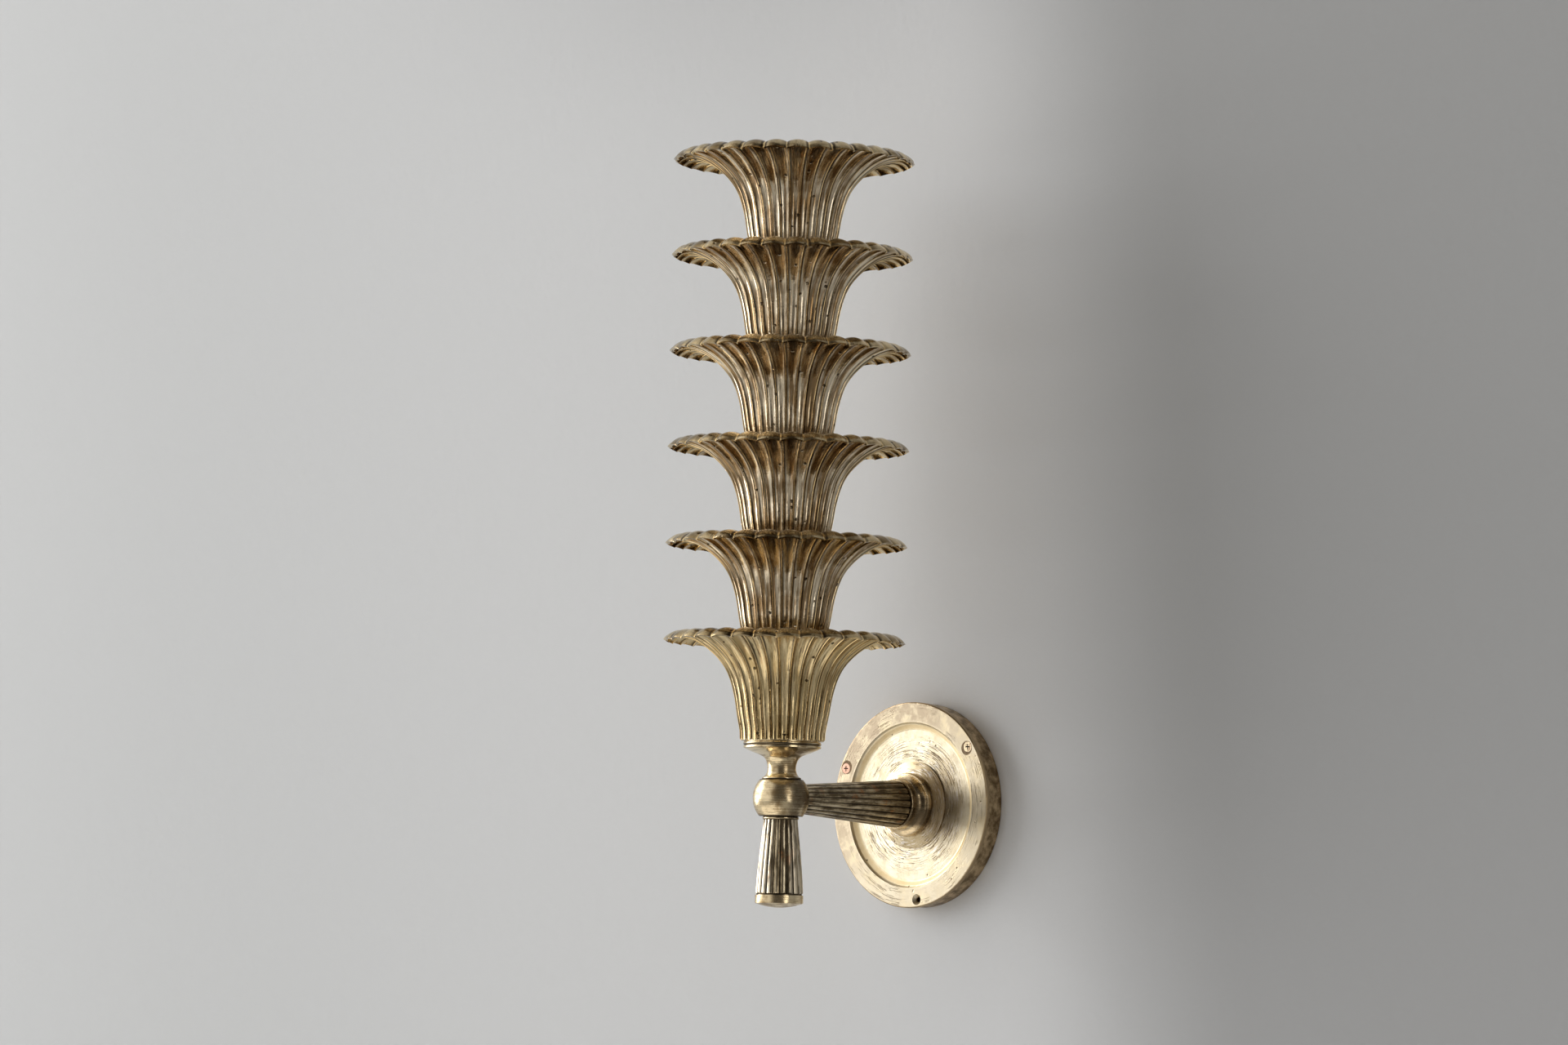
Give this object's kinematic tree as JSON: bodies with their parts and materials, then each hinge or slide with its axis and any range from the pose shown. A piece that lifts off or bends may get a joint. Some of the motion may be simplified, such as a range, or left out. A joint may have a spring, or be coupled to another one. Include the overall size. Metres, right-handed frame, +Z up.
{
  "type": "wall sconce",
  "caption": "Wall sconce: a column of stacked fluted trumpet shells on a ball joint, held off a round wall plate by a reeded arm, with a reeded finial below.",
  "frame": {"origin": "centre of the back of the wall ring, on the wall's surface", "axes": "+Z up along the column, -Y out from the wall along the arm, +X to the right seen from the room"},
  "size_m": [0.1546, 0.2138, 0.4836],
  "materials": {
    "block_plastic": "white moulded",
    "cap_metal": "plain",
    "column_brass": "brushed brass with brown patina",
    "contact_brass": "plain",
    "holder_plastic": "ivory moulded",
    "lamp_glass": "frosted",
    "lead_blue": "blue insulation",
    "lead_brown": "brown insulation",
    "plate_brass": "pale polished brass with fine turning scratches",
    "reeded_brass": "dark bronze patina with worn crests",
    "ring_bronze": "brown patinated brass",
    "screw_copper": "plain copper-toned brass",
    "shell_metal": "aged silvered brass, worn to gold on the ridges",
    "spacer_brass": "plain drawn tube",
    "steel_rod": "zinc plated"
  },
  "bodies": {
    "fixture": {"shell_tier_1": "shell_metal", "shell_tier_2": "shell_metal", "shell_tier_3": "shell_metal", "shell_tier_4": "shell_metal", "shell_tier_5": "shell_metal", "shell_tier_6": "shell_metal", "shell_spacer_1": "spacer_brass", "shell_spacer_2": "spacer_brass", "shell_spacer_3": "spacer_brass", "shell_spacer_4": "spacer_brass", "shell_spacer_5": "spacer_brass", "stem": "column_brass", "ball_joint": "column_brass", "finial": "reeded_brass", "finial_bead": "column_brass", "finial_end_cap": "column_brass", "finial_stud": "steel_rod", "arm": "reeded_brass", "arm_rod": "steel_rod", "column_rod": "steel_rod", "top_washer": "steel_rod", "top_nut": "contact_brass", "wall_washer": "steel_rod", "wall_nut": "contact_brass", "collar": "column_brass", "plate_boss": "plate_brass", "wall_plate": "plate_brass", "wall_ring": "ring_bronze", "plate_screws": "screw_copper", "lampholder": "holder_plastic", "holder_contact": "contact_brass", "line_lead": "lead_brown", "neutral_lead": "lead_blue", "terminal_block": "block_plastic", "terminal_sleeves": "contact_brass", "terminal_screws": "steel_rod", "earth_nut": "contact_brass", "earth_stud": "contact_brass"},
    "lamp": {"lamp_cap": "cap_metal", "lamp_glass": "lamp_glass"}
  },
  "joints": [
    {"name": "lamp_lift", "type": "slide", "parent": "fixture", "child": "lamp", "axis": [0, 0, 1], "range_m": [0, 0.065]}
  ]
}
